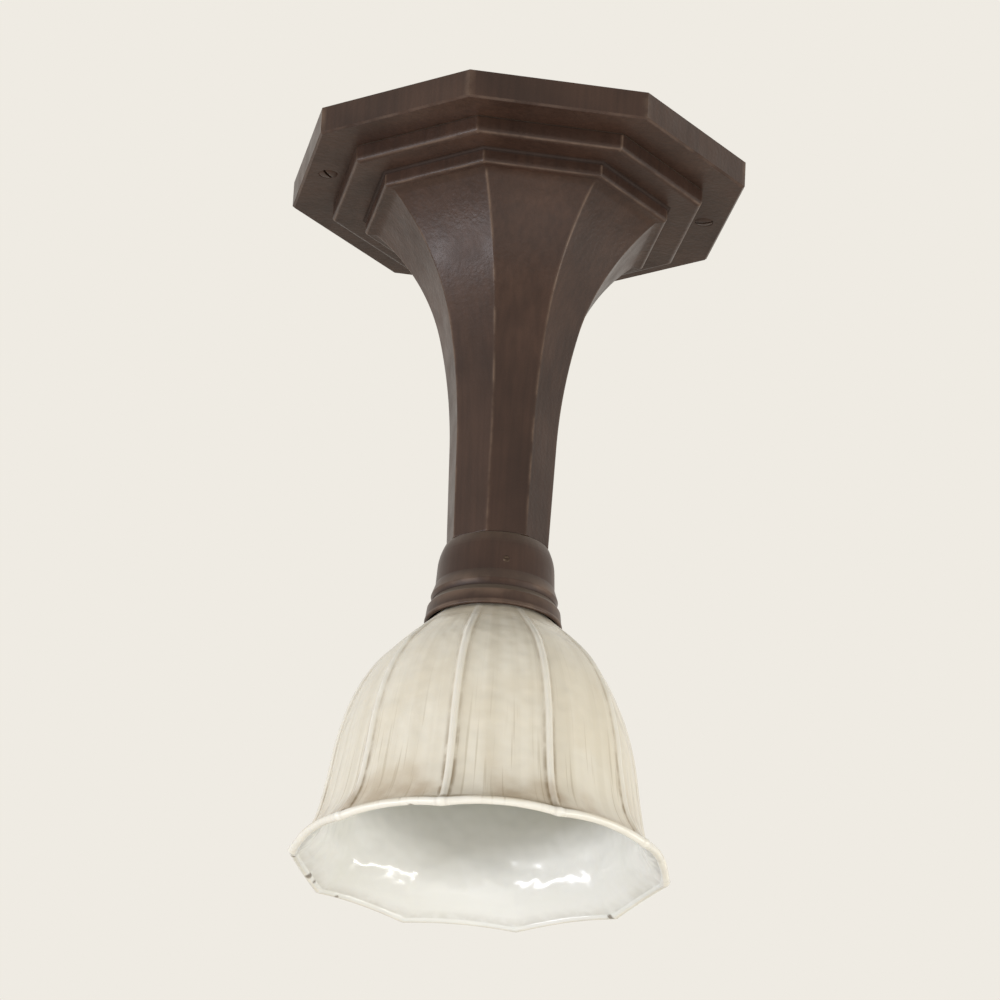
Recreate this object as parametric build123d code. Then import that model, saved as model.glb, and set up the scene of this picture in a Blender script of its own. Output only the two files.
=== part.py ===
from build123d import *
import math
import os

# A ceiling lamp from inside a railway coach: an octagonal plate and trumpet-shaped stem of painted
# cast metal, a round shade holder, and a ribbed opal glass bell. Millimetres. The origin is the
# centre of the plate's back, on the ceiling, and the lamp hangs down along -Z.

sides = 8

# Canopy plate, screwed to the ceiling
plate_flats = 240.0
plate_depth = 16.0
plate_wall = 5.0
plate_rim = 6.0
plate_edge_bevel = 1.2
plate_opening_r = 78.0
screw_edge = 12.5
screw_hole_r = 2.75
screw_sink_r = 5.5
screw_boss_r = 9.0

# Stem, a hollow casting with a stepped foot and a flared octagonal shaft
stem_wall = 4.5
foot_half = 98.0
foot_depth = 10.0
foot_round = 3.0
step_half = 80.0
step_depth = 9.0
step_round = 2.5
step_corner_round = 1.25
flare_half = 74.0
flare_mid_half = 36.5
flare_mid_drop = 67.0
shaft_top_half = 28.0
shaft_top_drop = 154.0
shaft_end_half = 26.5
stem_length = 214.0

# Threaded nipple with its lock nut, which clamps the holder and the lampholder to the stem's end
nipple_r = 5.1
nipple_bore_r = 3.6
nipple_clearance = 0.1
nipple_proud = 2.5
nut_flats = 17.0
nut_height = 4.0
nut_bevel = 0.8

# Shade holder, a spun cup between the stem and the lampholder
holder_wall = 1.6
holder_top_r = 28.5
holder_top_round = 2.2
holder_r = 31.9
holder_shoulder_drop = 8.0
holder_shoulder_bend = 30.0
waist_r = 32.7
waist_drop = 23.5
bead_r = 34.9
bead_drop = 30.0
groove_r = 33.9
groove_drop = 33.5
band_r = 36.6
band_drop = 37.0
lip_r = 37.4
holder_length = 43.5
lip_roll_r = 1.2
soft_bend = 2.0
tight_bend = 0.8

# Screws that hold the glass
shade_screw_count = 3
shade_screw_turn = 30.0
shade_screw_r = 2.0
shade_screw_proud = 0.8
screw_clearance = 0.1
seat_gap = 0.2

# Lampholder, a porcelain body with a brass screw shell
holder_body_r = 19.5
holder_cap_r = 14.0
holder_cap_length = 8.0
holder_body_length = 46.0
porcelain_edge_round = 1.0
porcelain_shoulder_round = 2.5
shell_bore_r = 13.3
shell_wall = 0.6
shell_length = 26.0
shell_clearance = 0.1
shell_setback = 1.0
contact_r = 4.5
contact_length = 0.8
contact_gap = 1.0

# Glass shade
rib_count = 10
rib_turn = -4.0
rib_width = 4.2
rib_height = 1.5
glass_wall = 3.6
rim_wall = 4.6
neck_r = 26.8
neck_drop = 12.0
fitter_lip_r = 28.6
fitter_lip_length = 3.5
bell_drop = 36.0
neck_overlap = 0.5
scallop_rise = 2.7
# Each row of the bell: drop below the bell's top, radius at the corners, flatness of the panels
# from 0 (round) to 1 (straight), share of the rib's height, share of the rim's extra wall
bell_rows = (
    (0.0, 26.6, 0.0, 0.1, 0.0),
    (6.0, 31.0, 0.1, 0.1, 0.0),
    (13.0, 38.0, 0.2, 0.4, 0.0),
    (24.0, 50.0, 0.3, 0.9, 0.0),
    (37.0, 61.8, 0.35, 1.0, 0.0),
    (56.5, 72.6, 0.4, 1.0, 0.0),
    (81.0, 80.0, 0.4, 1.0, 0.0),
    (106.0, 84.2, 0.4, 1.0, 0.0),
    (128.0, 89.0, 0.45, 1.0, 0.2),
    (142.0, 96.2, 0.5, 1.0, 0.5),
    (148.0, 102.1, 0.52, 1.0, 1.0),
    (150.5, 103.6, 0.54, 0.6, 1.0),
)

# How far a cutter runs past the faces that it cuts
cut_margin = 1.0

# Places and fits that follow from the sizes above
screw_spacing = plate_flats - 2 * screw_edge
screw_sink_depth = screw_sink_r - screw_hole_r
foot_top = plate_depth
foot_bottom = foot_top + foot_depth
step_bottom = foot_bottom + step_depth
stem_end = foot_top + stem_length
nipple_hole_r = nipple_r + nipple_clearance
holder_web_bottom = stem_end + holder_wall
body_end = holder_web_bottom + holder_body_length
neck_top = stem_end + neck_drop
shade_screw_drop = neck_drop + fitter_lip_length + seat_gap + shade_screw_r
bell_top = stem_end + bell_drop
mouth = bell_top + bell_rows[-1][0]


def turned(outline):
    """The solid of revolution of an outline drawn with x as radius and y as height."""
    return revolve(Plane.XZ * outline, Axis.Z)


def mitred(outline):
    """An octagonal form: one symmetric outline pushed through from each pair of sides."""
    reach = plate_flats
    form = None
    for pair in range(sides // 2):
        slab = extrude(Plane.XZ * outline, amount=reach, both=True)
        slab = slab.rotate(Axis.Z, pair * 360 / sides)
        form = slab if form is None else form & slab
    return form


def hanging(radius, top, length):
    """A round bar on the lamp's axis, given by its depth at the top and its length down."""
    return Pos(0, 0, -top) * Cylinder(radius, length, align=(Align.CENTER, Align.CENTER, Align.MAX))


def canopy_plate():
    """A shallow octagonal pan, open at the back, with two screw bosses in its rim."""
    def octagon(half):
        return RegularPolygon(half, sides, major_radius=False, rotation=180 / sides)

    plate = extrude(octagon(plate_flats / 2), -plate_depth)
    plate = chamfer(plate.faces().sort_by(Axis.Z)[0].edges(), plate_edge_bevel)
    recess = extrude(octagon(plate_flats / 2 - plate_rim), -(plate_depth - plate_wall))
    screw_places = [Pos(side * screw_spacing / 2, 0, 0) for side in (-1, 1)]
    for place in screw_places:
        recess -= place * hanging(screw_boss_r, 0, plate_depth - plate_wall)
    plate -= recess
    plate -= hanging(plate_opening_r, -cut_margin, plate_depth + 2 * cut_margin)
    sink = Cone(screw_sink_r, screw_hole_r, screw_sink_depth, align=(Align.CENTER, Align.CENTER, Align.MIN))
    for place in screw_places:
        plate -= place * hanging(screw_hole_r, -cut_margin, plate_depth + 2 * cut_margin)
        plate -= place * Pos(0, 0, -plate_depth) * sink
    return plate


def stem_side(inset, top):
    """The stem's outline from its lower end up to a height, moved in by a wall's thickness."""
    shaft_end = (shaft_end_half, -stem_end)
    shaft_top = (shaft_top_half, -foot_top - shaft_top_drop)
    flare_mid = (flare_mid_half, -step_bottom - flare_mid_drop)
    flare_top = (flare_half, -step_bottom)
    shaft = Line(shaft_end, shaft_top)
    low = TangentArc(shaft_top, flare_mid, tangent=shaft % 1)
    high = TangentArc(flare_mid, flare_top, tangent=low % 1)

    def moved(curve, at):
        point, along = curve @ at, curve % at
        return (point.X - along.Y * inset, point.Y + along.X * inset)

    start, knee, middle, end = moved(shaft, 0), moved(shaft, 1), moved(low, 1), moved(high, 1)
    steps = FilletPolyline(
        end,
        (step_half - inset, -step_bottom + inset),
        (step_half - inset, -foot_bottom + inset),
        (foot_half - inset, -foot_bottom + inset),
        (foot_half - inset, top),
        radius=[step_round, step_corner_round, foot_round],
    )
    side = [
        Line(start, knee),
        TangentArc(knee, middle, tangent=shaft % 1),
        TangentArc(middle, end, tangent=low % 1),
    ]
    side += steps.edges()
    side += [Line((foot_half - inset, top), (0, top)), Line((0, top), (0, start[1])), Line((0, start[1]), start)]
    return make_face(side)


def stem():
    """The stem's hollow octagonal casting, closed at its lower end but for the nipple's hole."""
    def form(inset, top):
        half = stem_side(inset, top)
        return mitred(half + mirror(half, about=Plane.YZ))

    casting = form(0, -foot_top)
    cavity = form(stem_wall, -foot_top + plate_wall)
    end_web = hanging(foot_half, stem_end - stem_wall, 2 * stem_wall)
    casting -= cavity - end_web
    casting -= hanging(nipple_hole_r, stem_end - stem_wall - cut_margin, stem_wall + 2 * cut_margin)
    return casting


def nipple():
    """The hollow nipple through the stem's end, with a six-sided lock nut on the web inside."""
    nut_seat = stem_end - stem_wall
    nut_top = nut_seat - nut_height
    top = nut_top - nipple_proud
    foot = holder_web_bottom + holder_cap_length
    nut = Pos(0, 0, -nut_seat) * extrude(RegularPolygon(nut_flats / 2, 6, major_radius=False), nut_height)
    nut = chamfer(nut.faces().sort_by(Axis.Z)[-1].edges(), nut_bevel)
    tube = nut + hanging(nipple_r, top, foot - top)
    return tube - hanging(nipple_bore_r, top - cut_margin, foot - top + 2 * cut_margin)


def holder_side(inset, foot):
    """The shade holder's outline from the axis to its lip, moved in by a wall's thickness."""
    web = -stem_end - inset
    outline = FilletPolyline(
        (0, web),
        (holder_top_r - inset, web),
        (holder_r - inset, -stem_end - holder_shoulder_drop),
        (waist_r - inset, -stem_end - waist_drop),
        (bead_r - inset, -stem_end - bead_drop),
        (groove_r - inset, -stem_end - groove_drop),
        (band_r - inset, -stem_end - band_drop),
        (lip_r - inset, -stem_end - holder_length),
        (lip_r - inset, foot),
        radius=[
            holder_top_round - inset / 2,
            holder_shoulder_bend - inset,
            soft_bend,
            tight_bend,
            tight_bend,
            tight_bend,
            soft_bend,
        ],
    )
    closing = [Line((lip_r - inset, foot), (0, foot)), Line((0, foot), (0, web))]
    return make_face(outline.edges() + closing)


def shade_holder():
    """The spun holder: a drum with a beaded skirt, a rolled lip and holes for the glass screws."""
    foot = -stem_end - holder_length - lip_roll_r
    cup = turned(holder_side(0, foot)) - turned(holder_side(holder_wall, foot - cut_margin))
    roll = Pos(lip_r - holder_wall / 2, foot) * Circle(lip_roll_r)
    cup += turned(roll)
    cup -= hanging(nipple_hole_r, stem_end - cut_margin, holder_wall + 2 * cut_margin)
    hole_depth = 2 * (holder_r - neck_r)
    for place in shade_screw_places():
        cup -= place * Cylinder(shade_screw_r + screw_clearance, hole_depth)
    return cup


def shade_screw_places():
    """Places of the glass screws, each with its local Z pointing out through the holder's drum."""
    level = Pos(0, 0, -stem_end - shade_screw_drop)
    turns = [Rot(0, 0, shade_screw_turn + i * 360 / shade_screw_count) for i in range(shade_screw_count)]
    return [level * turn * Pos(holder_r, 0, 0) * Rot(0, 90, 0) for turn in turns]


def shade_screws():
    """Three short screws through the drum: the glass's lip rests on them and they press its neck."""
    length = holder_r + shade_screw_proud - neck_r - seat_gap
    lift = shade_screw_proud - length / 2
    screws = [place * Pos(0, 0, lift) * Cylinder(shade_screw_r, length) for place in shade_screw_places()]
    return Compound(children=screws)


def lampholder_body():
    """The porcelain lampholder, screwed up against the web of the shade holder."""
    top = -holder_web_bottom
    neck = top - holder_cap_length
    foot = -body_end
    body = FilletPolyline(
        (0, top),
        (holder_cap_r, top),
        (holder_cap_r, neck),
        (holder_body_r, neck - (holder_body_r - holder_cap_r)),
        (holder_body_r, foot),
        (0, foot),
        radius=[
            porcelain_edge_round,
            porcelain_shoulder_round,
            porcelain_shoulder_round,
            porcelain_edge_round,
        ],
    )
    form = turned(make_face(body.edges() + [Line((0, foot), (0, top))]))
    bore_r = shell_bore_r + shell_wall + shell_clearance
    bore_depth = shell_setback + shell_length + contact_gap
    form -= hanging(bore_r, body_end - bore_depth, bore_depth + cut_margin)
    form -= hanging(nipple_hole_r, holder_web_bottom - cut_margin, holder_cap_length + cut_margin)
    return form


def screw_shell():
    """The brass shell that the bulb screws into."""
    top = body_end - shell_setback - shell_length
    tube = hanging(shell_bore_r + shell_wall, top, shell_length)
    return tube - hanging(shell_bore_r, top - cut_margin, shell_length + 2 * cut_margin)


def centre_contact():
    """The brass contact at the bottom of the lampholder's bore."""
    return hanging(contact_r, body_end - shell_setback - shell_length - contact_gap, contact_length)


def around(radius, degrees, height):
    """A point at a radius and an azimuth."""
    turn = math.radians(degrees)
    return (radius * math.cos(turn), radius * math.sin(turn), height)


def bell_section(radius, flatness, rib, height):
    """One level of the bell: panels that are arcs flatter than the circle, with a rib at each corner."""
    pitch = 360 / rib_count
    half_rib = math.degrees(rib_width / 2 / radius) if rib else 0
    middle = radius * (1 - flatness * (1 - math.cos(math.radians(pitch / 2))))
    edges = []
    for i in range(rib_count):
        corner = rib_turn + i * pitch
        start = around(radius, corner + half_rib, height)
        crown = around(middle, corner + pitch / 2, height)
        end = around(radius, corner + pitch - half_rib, height)
        edges.append(ThreePointArc(start, crown, end))
        if rib:
            peak = around(radius + rib, corner + pitch, height)
            after = around(radius, corner + pitch + half_rib, height)
            edges.append(ThreePointArc(end, peak, after))
    return make_face(edges)


def scallops():
    """Ten round cutters that lift the rim in a shallow arc between the tips at the ribs."""
    half_pitch = 180 / rib_count
    rim_r = bell_rows[-1][1]
    half_width = rim_r * math.sin(math.radians(half_pitch))
    cutter_r = (half_width ** 2 + scallop_rise ** 2) / (2 * scallop_rise)
    level = -mouth + scallop_rise - cutter_r
    reach = rim_r / 2
    cutters = []
    for i in range(rib_count):
        turn = Rot(0, 0, rib_turn + half_pitch + i * 2 * half_pitch)
        cutters.append(turn * Pos(rim_r, 0, level) * Rot(0, 90, 0) * Cylinder(cutter_r, reach))
    return cutters


def shade():
    """The opal glass bell: a ribbed and panelled loft on a round neck with a fitter lip."""
    outer = []
    inner = []
    for drop, radius, flatness, rib, rim in bell_rows:
        height = -bell_top - drop
        thick = glass_wall + rim * (rim_wall - glass_wall)
        outer.append(bell_section(radius, flatness, rib * rib_height, height))
        inner.append(bell_section(radius - thick, flatness, 0, height))
    bell = loft(outer)
    hollow = loft(inner)
    for cutter in scallops():
        bell -= cutter
    neck_length = bell_top - neck_top + neck_overlap
    bell += hanging(neck_r, neck_top, neck_length)
    bell += hanging(fitter_lip_r, neck_top, fitter_lip_length)
    bore = hanging(neck_r - glass_wall, neck_top - cut_margin, neck_length + 2 * cut_margin)
    return bell - (hollow + bore)


parts = {
    "canopy_plate": canopy_plate(),
    "stem": stem(),
    "nipple": nipple(),
    "shade_holder": shade_holder(),
    "shade_screws": shade_screws(),
    "lampholder_body": lampholder_body(),
    "screw_shell": screw_shell(),
    "centre_contact": centre_contact(),
    "shade": shade(),
}
os.makedirs("parts", exist_ok=True)
for name, solid in parts.items():
    solid.label = name
    export_step(solid, "parts/" + name + ".step")
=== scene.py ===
import math

import bmesh
import bpy
from mathutils import Matrix, Vector


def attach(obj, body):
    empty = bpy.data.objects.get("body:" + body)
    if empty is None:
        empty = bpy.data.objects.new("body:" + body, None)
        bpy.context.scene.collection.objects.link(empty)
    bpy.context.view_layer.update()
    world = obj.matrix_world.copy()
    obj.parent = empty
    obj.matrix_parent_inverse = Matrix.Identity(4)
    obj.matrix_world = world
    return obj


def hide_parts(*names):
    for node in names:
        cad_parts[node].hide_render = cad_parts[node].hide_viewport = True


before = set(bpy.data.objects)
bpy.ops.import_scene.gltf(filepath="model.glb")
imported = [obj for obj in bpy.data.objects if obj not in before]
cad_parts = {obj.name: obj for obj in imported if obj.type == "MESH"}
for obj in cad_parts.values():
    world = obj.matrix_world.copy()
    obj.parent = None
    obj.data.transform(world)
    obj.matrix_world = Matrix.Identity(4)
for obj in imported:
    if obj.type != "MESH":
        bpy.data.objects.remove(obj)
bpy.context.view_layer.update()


# Canopy plate
# A shallow octagonal pan of grey cast iron, moulded in sand and brush-painted chocolate brown.
# Its back is flat, and it carries the whole lamp on two screws through its rim.
MM = 0.001
half_facet = math.pi / 8
plate_half = 120.0
plate_depth = 16.0
# The plate's edges are paler over a strip this many mm wide, fully so on its outer share: worn paint and a
# painted highlight
plate_rub_highlight_width = 1.4
full_rub_highlight_share = 0.15


def colour(code):
    """A paint card's sRGB hex code as a linear colour."""
    shares = [int(code[i:i + 2], 16) / 255 for i in (1, 3, 5)]
    return [c / 12.92 if c <= 0.04045 else ((c + 0.055) / 1.055) ** 2.4 for c in shares] + [1.0]


def add(tree, kind, settings=None, inputs=None):
    """A node with its settings, its inputs each set to a value or joined to a node or an output."""
    node = tree.nodes.new(kind)
    for name, value in (settings or {}).items():
        setattr(node, name, value)
    for name, value in (inputs or {}).items():
        if isinstance(value, bpy.types.Node):
            value = next(output for output in value.outputs if output.enabled)
        if isinstance(value, bpy.types.NodeSocket):
            tree.links.new(value, node.inputs[name])
        else:
            node.inputs[name].default_value = value
    return node


def bare_finish(name):
    """A new material and its node tree, still empty."""
    finish = bpy.data.materials.new(name)
    finish.use_nodes = True
    finish.node_tree.nodes.clear()
    return finish, finish.node_tree


def refinish(node, finish):
    """Gives one of the frame's solids a better material."""
    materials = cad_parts[node].data.materials
    materials.clear()
    materials.append(finish)


def rim_wear_and_highlight(tree, place):
    """How far a point of the plate is on its worn lower edge or on one of its eight upright arrises, where
    paler paint stands for wear and a painted highlight.
    """
    reach = None
    for facet in range(4):
        facing = (math.cos(2 * half_facet * facet), math.sin(2 * half_facet * facet), 0.0)
        across = add(tree, "ShaderNodeVectorMath", {"operation": "DOT_PRODUCT"}, {0: place, 1: facing})
        away = add(tree, "ShaderNodeMath", {"operation": "ABSOLUTE"}, {0: across})
        if reach:
            away = add(tree, "ShaderNodeMath", {"operation": "MAXIMUM"}, {0: reach, 1: away})
        reach = away
    level_place = add(tree, "ShaderNodeVectorMath", {"operation": "MULTIPLY"}, {0: place, 1: (1.0, 1.0, 0.0)})
    radius = add(tree, "ShaderNodeVectorMath", {"operation": "LENGTH"}, {0: level_place})
    level = add(tree, "ShaderNodeSeparateXYZ", {}, {0: place}).outputs["Z"]
    near = []
    for value, edge, run in (
            (reach, plate_half, plate_rub_highlight_width), (level, -plate_depth, -plate_rub_highlight_width),
            (radius, plate_half / math.cos(half_facet), plate_rub_highlight_width)):
        near.append(add(tree, "ShaderNodeMapRange", {}, {
            "Value": value,
            "From Min": (edge - run) * MM,
            "From Max": (edge - full_rub_highlight_share * run) * MM}))
    on_side, on_underside, on_arris = near
    lower_edge = add(tree, "ShaderNodeMath", {"operation": "MULTIPLY"}, {0: on_side, 1: on_underside})
    return add(tree, "ShaderNodeMath", {"operation": "MAXIMUM"}, {0: lower_edge, 1: on_arris})


def oil_paint(name, grain, grain_height, on_plate=False):
    """Brown oil paint, brushed on downwards, over a metal whose grain shows through the coat."""
    paint, tree = bare_finish(name)
    place = add(tree, "ShaderNodeTexCoord").outputs["Object"]
    # Old coats dried to slightly different browns, in patches some 55 mm across
    patches = add(tree, "ShaderNodeTexNoise", {}, {"Vector": place, "Scale": 1 / (55 * MM), "Detail": 3.0})
    patched = add(tree, "ShaderNodeMapRange", {}, {"Value": patches, "From Min": 0.35, "From Max": 0.65})
    brown = add(tree, "ShaderNodeMix", {"data_type": "RGBA"}, {
        "Factor": patched, 6: colour("#35241c"), 7: colour("#453127")})
    # Brush hairs leave streaks about 3 mm wide and a finger long, drawn coarser than real hairs
    stretched = add(tree, "ShaderNodeMapping", {}, {"Vector": place, "Scale": (1.0, 1.0, 0.04)})
    streaks = add(tree, "ShaderNodeTexNoise", {}, {
        "Vector": stretched, "Scale": 1 / (3.2 * MM), "Detail": 2.0})
    streaked = add(tree, "ShaderNodeMix", {"data_type": "RGBA", "blend_type": "OVERLAY"}, {
        "Factor": 0.35, 6: brown, 7: streaks})
    # Cloths and fingers thin the coat along the arrises, so they look paler and drier; the paler colour also
    # stands in for a painted highlight on them
    if on_plate:
        wear_highlight_dirt_shade = rim_wear_and_highlight(tree, place)
    else:
        wear_highlight_dirt_shade = add(tree, "ShaderNodeAttribute", {"attribute_name": "wear_highlight_dirt_shade"}).outputs["Fac"]
    rubs = add(tree, "ShaderNodeTexNoise", {}, {"Vector": place, "Scale": 1 / (16 * MM), "Detail": 4.0})
    broken_up = add(tree, "ShaderNodeMapRange", {}, {
        "Value": rubs, "From Min": 0.4, "From Max": 0.62, "To Min": 0.1, "To Max": 0.75})
    rubbed_or_highlit = add(tree, "ShaderNodeMath", {"operation": "MULTIPLY"}, {0: wear_highlight_dirt_shade, 1: broken_up})
    # Paler brown on the arrises: worn paint and a painted highlight
    worn_or_highlit = add(tree, "ShaderNodeMix", {"data_type": "RGBA"}, {
        "Factor": rubbed_or_highlit, 6: streaked, 7: colour("#6e5a4c")})
    # Coats of paint and dirt have filled the inner corners, which carry a negative mark, and their dark
    # colour is also painted shade
    dirt_and_corner_shade = add(tree, "ShaderNodeMapRange", {}, {
        "Value": wear_highlight_dirt_shade, "From Min": 0.0, "From Max": -1.0, "To Max": 0.6})
    with_corner_shade = add(tree, "ShaderNodeMix", {"data_type": "RGBA"}, {
        "Factor": dirt_and_corner_shade, 6: worn_or_highlit, 7: colour("#221813")})
    # House dust settles on whatever looks up
    facing = add(tree, "ShaderNodeNewGeometry").outputs["Normal"]
    upward = add(tree, "ShaderNodeSeparateXYZ", {}, {0: facing}).outputs["Z"]
    dust = add(tree, "ShaderNodeMapRange", {}, {
        "Value": upward, "From Min": 0.25, "From Max": 0.95, "To Max": 0.55})
    dusty = add(tree, "ShaderNodeMix", {"data_type": "RGBA"}, {
        "Factor": dust, 6: with_corner_shade, 7: colour("#8f8475")})
    # The half gloss is uneven, and the filled corners are matt
    rough = add(tree, "ShaderNodeMapRange", {}, {
        "Value": rubs, "From Min": 0.3, "From Max": 0.7, "To Min": 0.33, "To Max": 0.46})
    matter = add(tree, "ShaderNodeMath", {"operation": "MULTIPLY_ADD"}, {0: dirt_and_corner_shade, 1: 0.6, 2: rough})
    sand = add(tree, "ShaderNodeTexNoise", {}, {"Vector": place, "Scale": 1 / (grain * MM), "Detail": 3.0})
    pits = add(tree, "ShaderNodeBump", {}, {
        "Height": sand, "Strength": 0.5, "Distance": grain_height * MM})
    hairs = add(tree, "ShaderNodeBump", {}, {
        "Height": streaks, "Strength": 0.4, "Distance": 0.12 * MM, "Normal": pits})
    shader = add(tree, "ShaderNodeBsdfPrincipled", {}, {
        "Base Color": dusty, "Roughness": matter, "Normal": hairs, "IOR": 1.5, "Specular IOR Level": 0.32})
    add(tree, "ShaderNodeOutputMaterial", {}, {"Surface": shader})
    return paint


# Sand-cast iron gives a faint pebbled skin under the paint's half gloss
painted_plate = oil_paint("brushed_paint_on_cast_plate", grain=2.4, grain_height=0.35, on_plate=True)
refinish("canopy_plate", painted_plate)


# Canopy screws
# Two 5 mm countersunk wood screws with slotted, slightly domed steel heads. They were driven up
# through the plate's rim and painted over with it.
screw_spacing = 215.0
head_r = 5.3
head_dome = 0.9
head_sunk = 0.35
cone_depth = 2.9
shank_r = 2.5
screw_length = 15.6
head_columns = 48


def skin_between(form, rows, ring):
    """Faces between each row of points and the next, and back to the first one where they make a ring."""
    pairs = list(zip(rows, rows[1:]))
    if ring:
        pairs.append((rows[-1], rows[0]))
    for low, high in pairs:
        for i in range(len(low)):
            j = (i + 1) % len(low)
            form.faces.new((low[i], low[j], high[j], high[i]))


def lathe(outline, steps, ring=True):
    """A mesh turned about Z from x, z points in millimetres: a closed ring, or a form with two poles."""
    form = bmesh.new()
    rows = []
    for radius, height in outline:
        row = []
        for i in range(steps):
            turn = 2 * math.pi * i / steps
            spot = (radius * math.cos(turn) * MM, radius * math.sin(turn) * MM, height * MM)
            row.append(form.verts.new(spot))
        rows.append(row)
    skin_between(form, rows, ring)
    return form


def settle(form, name, merge=1e-7):
    """Closes a form's poles, points its faces outwards and makes it a smooth mesh."""
    bmesh.ops.remove_doubles(form, verts=form.verts, dist=merge)
    if form.calc_volume(signed=True) < 0:
        bmesh.ops.reverse_faces(form, faces=form.faces)
    mesh = bpy.data.meshes.new(name)
    form.to_mesh(mesh)
    form.free()
    mesh.polygons.foreach_set("use_smooth", [True] * len(mesh.polygons))
    return mesh


def in_scene(name, data):
    """A new object of the scene."""
    thing = bpy.data.objects.new(name, data)
    bpy.context.scene.collection.objects.link(thing)
    return thing


def grow(name, mesh, tree, sizes):
    """An object whose geometry tree has run on a mesh and been turned into a plain mesh."""
    piece = in_scene(name, mesh)
    maker = piece.modifiers.new("maker", "NODES")
    maker.node_group = tree
    for item in tree.interface.items_tree:
        if item.item_type == "SOCKET" and item.in_out == "INPUT" and item.name in sizes:
            maker[item.identifier] = sizes[item.name]
    ready = bpy.context.evaluated_depsgraph_get()
    grown = bpy.data.meshes.new_from_object(
        piece.evaluated_get(ready), preserve_all_data_layers=True, depsgraph=ready)
    piece.modifiers.remove(maker)
    piece.data = grown
    grown.name = name
    return piece


def tree_with(name, sizes):
    """A geometry tree with the object's own mesh and named sizes as inputs, and its input node."""
    tree = bpy.data.node_groups.new(name, "GeometryNodeTree")
    tree.interface.new_socket("Geometry", in_out="INPUT", socket_type="NodeSocketGeometry")
    for size, kind in sizes.items():
        tree.interface.new_socket(size, in_out="INPUT", socket_type=kind)
    tree.interface.new_socket("Geometry", in_out="OUTPUT", socket_type="NodeSocketGeometry")
    return tree, add(tree, "NodeGroupInput")


def close_tree(tree, shape, finish):
    """Ends a geometry tree with real geometry in its material."""
    real = add(tree, "GeometryNodeRealizeInstances", {}, {"Geometry": shape})
    done = add(tree, "GeometryNodeSetMaterial", {}, {"Geometry": real, "Material": finish})
    add(tree, "NodeGroupOutput", {}, {"Geometry": done})


def slotted_on(tree, given, points, facing, finish):
    """Cuts a driver's slot across the given head and sets one on every point, turned by chance."""
    # The slot's depth counts from the head's rim, and the cutter reaches as far above it, past the dome
    across = add(tree, "ShaderNodeMath", {"operation": "MULTIPLY"}, {0: given.outputs["Head Radius"], 1: 3.0})
    deep = add(tree, "ShaderNodeMath", {"operation": "MULTIPLY"}, {0: given.outputs["Slot Depth"], 1: 2.0})
    size = add(tree, "ShaderNodeCombineXYZ", {}, {"X": across, "Y": given.outputs["Slot Width"], "Z": deep})
    slot = add(tree, "GeometryNodeMeshCube", {}, {"Size": size})
    head = add(tree, "GeometryNodeMeshBoolean", {"operation": "DIFFERENCE", "solver": "EXACT"}, {
        "Mesh 1": given.outputs["Geometry"], "Mesh 2": slot})
    chance = add(tree, "FunctionNodeRandomValue", {"data_type": "FLOAT"}, {
        2: 0.0, 3: math.pi, "Seed": given.outputs["Seed"]})
    spin = add(tree, "FunctionNodeAxisAngleToRotation", {}, {"Angle": chance})
    turned = add(tree, "FunctionNodeRotateRotation", {"rotation_space": "LOCAL"}, {0: facing, 1: spin})
    placed = add(tree, "GeometryNodeInstanceOnPoints", {}, {
        "Points": points, "Instance": head, "Rotation": turned})
    close_tree(tree, placed, finish)


slotted_head = {
    "Head Radius": "NodeSocketFloat",
    "Slot Width": "NodeSocketFloat",
    "Slot Depth": "NodeSocketFloat",
    "Seed": "NodeSocketInt",
}
tree, given = tree_with("canopy_screw_pair", {
    **slotted_head,
    "Spacing": "NodeSocketFloat",
    "Depth": "NodeSocketFloat",
})
left = add(tree, "ShaderNodeMath", {"operation": "MULTIPLY"}, {0: given.outputs["Spacing"], 1: -0.5})
low = add(tree, "ShaderNodeMath", {"operation": "MULTIPLY"}, {0: given.outputs["Depth"], 1: -1.0})
pair = add(tree, "GeometryNodeMeshLine", {"mode": "OFFSET"}, {
    "Count": 2,
    "Start Location": add(tree, "ShaderNodeCombineXYZ", {}, {"X": left, "Z": low}),
    "Offset": add(tree, "ShaderNodeCombineXYZ", {}, {"X": given.outputs["Spacing"]}),
})
downwards = add(tree, "FunctionNodeAxisAngleToRotation", {}, {"Axis": (1.0, 0.0, 0.0), "Angle": math.pi})
painted_iron = oil_paint("brushed_paint_on_cast_iron", grain=2.4, grain_height=0.35)
slotted_on(tree, given, pair, downwards, painted_iron)

# The head lies in the plate's countersink with its dome just proud of the face
head_outline = [
    (0.0, -screw_length), (shank_r - 0.4, -screw_length), (shank_r, -screw_length + 0.4),
    (shank_r, -cone_depth), (head_r - 0.25, -0.15), (head_r, 0.0), (head_r - 0.2, 0.12),
    (4.4, 0.45), (3.0, 0.72), (1.5, 0.86), (0.0, head_dome),
]
head = settle(lathe(head_outline, head_columns, ring=False), "canopy_screws")
canopy_screws = grow("canopy_screws", head, tree, {
    "Head Radius": head_r * MM,
    "Slot Width": 1.3 * MM,
    "Slot Depth": 1.1 * MM,
    "Seed": 4,
    "Spacing": screw_spacing * MM,
    "Depth": (plate_depth - head_sunk) * MM,
})
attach(canopy_screws, "root")


# Stem
# A hollow octagonal iron casting with a stepped foot under the plate, a trumpet flare and a
# slim shaft. Its arrises were rounded by the sand mould and by coats of paint.
foot_half = 98.0
foot_round = 3.0
foot_bottom = 26.0
step_half = 80.0
step_round = 2.5
step_corner_round = 1.25
step_bottom = 35.0
flare_half = 74.0
flare_mid = (36.5, 102.0)
shaft_top = (28.0, 170.0)
shaft_end = (26.5, 230.0)
stem_wall = 4.5
wire_hole_r = 5.2
arris_round = 1.3
arris_steps = 6
lower_flare_steps = 14
upper_flare_steps = 22
shaft_steps = 8
# Points this close to an edge, in mm, keep the faces beside it flat
brace = 0.9
top_brace = 0.4


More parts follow.
